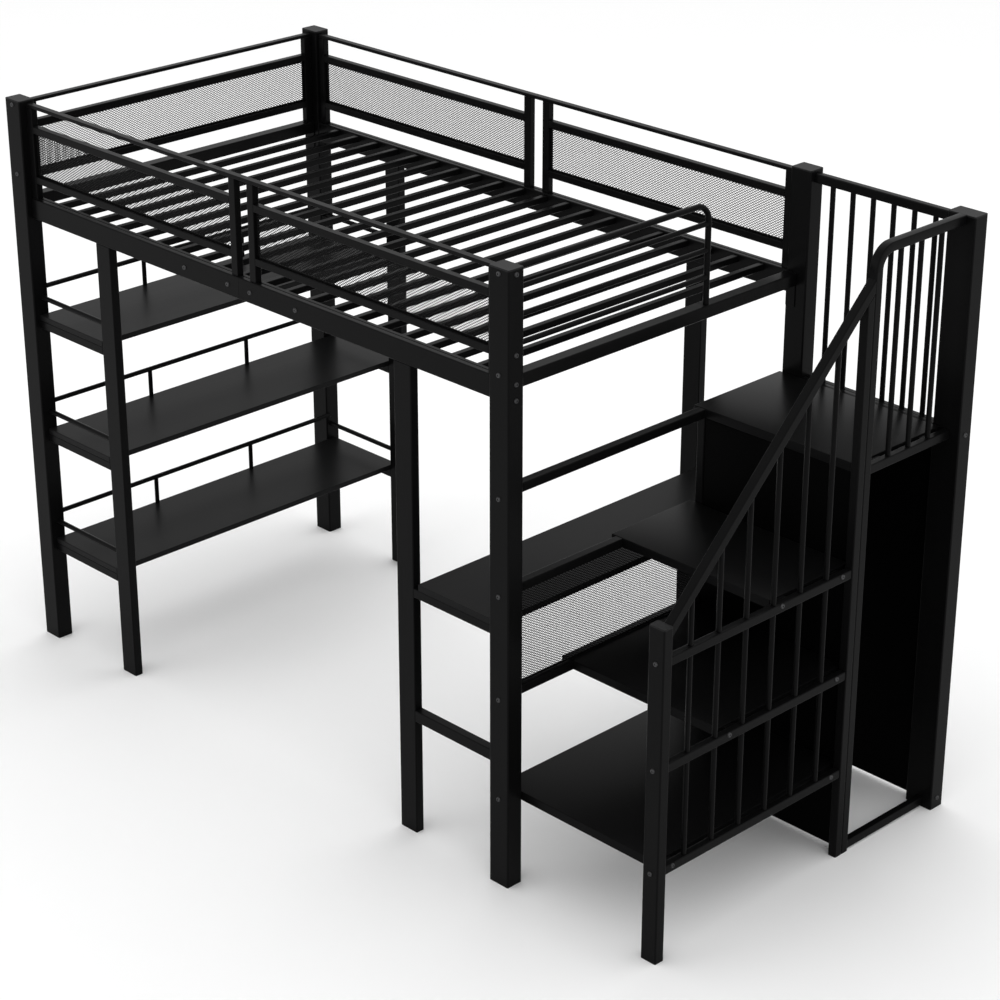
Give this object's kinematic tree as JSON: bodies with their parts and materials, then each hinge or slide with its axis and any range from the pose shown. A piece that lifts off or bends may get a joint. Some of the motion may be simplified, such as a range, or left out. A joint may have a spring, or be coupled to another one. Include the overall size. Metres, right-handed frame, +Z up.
{
  "type": "loft bed with desk",
  "caption": "High metal bed on tube posts with mesh guards, a desk, end shelves, and a stair with storage treads and a wardrobe bay.",
  "frame": {"origin": "the middle of the floor area under the whole piece, at floor level", "axes": "+X runs along the bed from the shelf end to the stair end, +Y from the front to the back, +Z up"},
  "size_m": [2.507, 1.129, 1.66],
  "materials": {
    "powder_coat": "semi-gloss black powder coat",
    "cap_plastic": "satin black plastic",
    "mesh_steel": "black powder coat on expanded mesh",
    "board": "smooth black laminate",
    "tread_steel": "satin black powder coat on folded sheet",
    "panel_steel": "satin black powder coat on sheet",
    "bolt_steel": "black oxide"
  },
  "bodies": {
    "root": {"post_front_left": "powder_coat", "post_back_left": "powder_coat", "post_front_right": "powder_coat", "post_back_right": "powder_coat", "post_stair_back": "powder_coat", "newel_post": "powder_coat", "stair_post": "powder_coat", "stair_guard_post": "powder_coat", "partition_post": "powder_coat", "shelf_post_front": "powder_coat", "shelf_post_back": "powder_coat", "desk_post_front": "powder_coat", "desk_post_back": "powder_coat", "post_caps": "cap_plastic", "side_rail_front_left": "powder_coat", "side_rail_front_right": "powder_coat", "side_rail_back_left": "powder_coat", "side_rail_back_right": "powder_coat", "rail_joining_sleeves": "powder_coat", "end_rail_left": "powder_coat", "end_rail_right": "powder_coat", "end_rail_brackets": "powder_coat", "bed_slats": "powder_coat", "guard_front_left": "powder_coat", "guard_front_right": "powder_coat", "guard_back_left": "powder_coat", "guard_back_right": "powder_coat", "guard_left_end": "powder_coat", "guard_mesh": "mesh_steel", "guard_access_end": "powder_coat", "shelf_board_top": "board", "shelf_board_middle": "board", "shelf_board_low": "board", "shelf_bars_front": "powder_coat", "shelf_bars_back": "powder_coat", "shelf_rods_front": "powder_coat", "shelf_rods_back": "powder_coat", "shelf_rods_side": "powder_coat", "desk_board": "board", "desk_bars": "powder_coat", "desk_braces": "powder_coat", "stair_crossbars": "powder_coat", "modesty_mesh": "mesh_steel", "tread_low": "tread_steel", "tread_middle": "tread_steel", "tread_high": "tread_steel", "platform_sheet": "tread_steel", "stair_side_rails": "powder_coat", "stair_balusters": "powder_coat", "handrail": "powder_coat", "top_handrail": "powder_coat", "platform_side_rail": "powder_coat", "platform_side_balusters": "powder_coat", "platform_back_rails": "powder_coat", "platform_back_balusters": "powder_coat", "partition_panel": "panel_steel", "back_panel": "panel_steel", "wardrobe_bottom_bar": "powder_coat", "bolts": "bolt_steel"}
  },
  "joints": []
}
